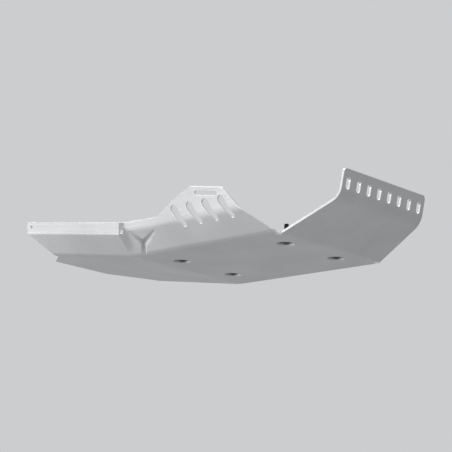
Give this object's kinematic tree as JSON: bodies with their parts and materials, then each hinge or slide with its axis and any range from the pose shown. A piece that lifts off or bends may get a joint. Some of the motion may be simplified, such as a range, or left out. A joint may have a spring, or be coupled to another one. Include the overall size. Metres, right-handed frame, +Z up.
{
  "type": "engine guard",
  "caption": "Folded aluminium pan with a slotted rolled nose and slotted side wings, hung on rubber-bushed screws to shield a motorbike engine from below.",
  "frame": {"origin": "middle of the screw pattern, on the underside of the flat floor", "axes": "+X towards the nose of the guard, +Y to its left side, +Z up towards the engine"},
  "size_m": [0.7389, 0.3546, 0.0951],
  "materials": {
    "sheet": "blasted and anodised, satin",
    "screw_steel": "black coated",
    "plated_steel": "zinc plated",
    "rubber": "moulded, matt"
  },
  "bodies": {
    "root": {"guard_pan": "sheet", "front_left_screw": "screw_steel", "front_left_washer": "screw_steel", "front_left_grommet": "rubber", "front_left_sleeve": "plated_steel", "front_left_top_washer": "plated_steel", "front_left_spacer": "plated_steel", "front_right_screw": "screw_steel", "front_right_washer": "screw_steel", "front_right_grommet": "rubber", "front_right_sleeve": "plated_steel", "front_right_top_washer": "plated_steel", "front_right_spacer": "plated_steel", "rear_left_screw": "screw_steel", "rear_left_washer": "screw_steel", "rear_left_grommet": "rubber", "rear_left_sleeve": "plated_steel", "rear_left_top_washer": "plated_steel", "rear_left_spacer": "plated_steel", "rear_right_screw": "screw_steel", "rear_right_washer": "screw_steel", "rear_right_grommet": "rubber", "rear_right_sleeve": "plated_steel", "rear_right_top_washer": "plated_steel", "rear_right_spacer": "plated_steel"}
  },
  "joints": []
}
